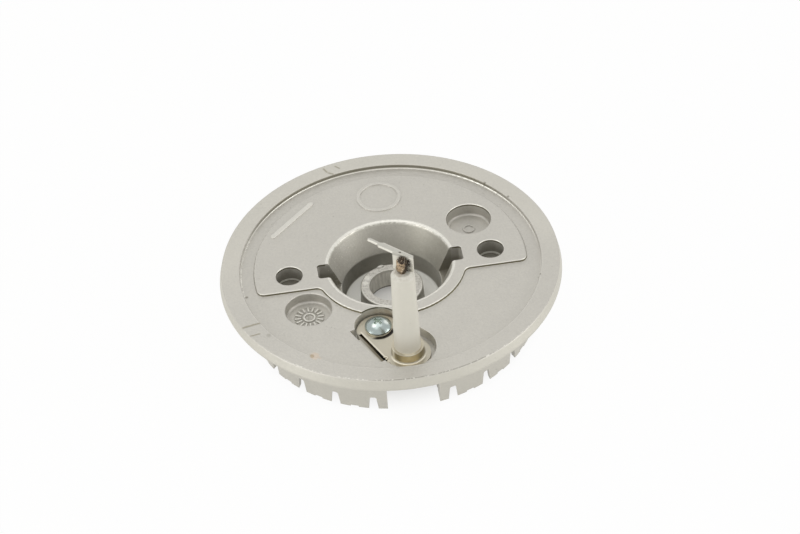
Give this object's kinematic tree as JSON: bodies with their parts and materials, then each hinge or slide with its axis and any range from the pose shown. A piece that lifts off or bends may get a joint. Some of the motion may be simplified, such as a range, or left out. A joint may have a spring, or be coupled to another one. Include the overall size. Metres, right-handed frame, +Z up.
{
  "type": "gas burner base",
  "caption": "Round die-cast gas burner base lying underside up, with a castellated flame port ring, venturi bowl, fixing holes and a spark igniter held by a plate.",
  "frame": {"origin": "on the burner axis, in the plane of the flame port tips that it lies on", "axes": "+Z up along the burner axis, towards the side that faces down when fitted; +X along the line of the fixing holes; -Y towards the igniter"},
  "size_m": [0.0994, 0.0994, 0.0502],
  "materials": {
    "cast_aluminium": "as cast, matt",
    "ceramic": "unglazed, satin",
    "electrode_wire": "heat-browned weld",
    "terminal_steel": "nickel plated",
    "plate_steel": "nickel plated",
    "zinc_screw": "zinc plated"
  },
  "bodies": {
    "root": {"burner_base": "cast_aluminium", "insulator": "ceramic", "electrode": "electrode_wire", "terminal_blade": "terminal_steel", "retaining_plate": "plate_steel", "clip_screw": "zinc_screw"}
  },
  "joints": []
}
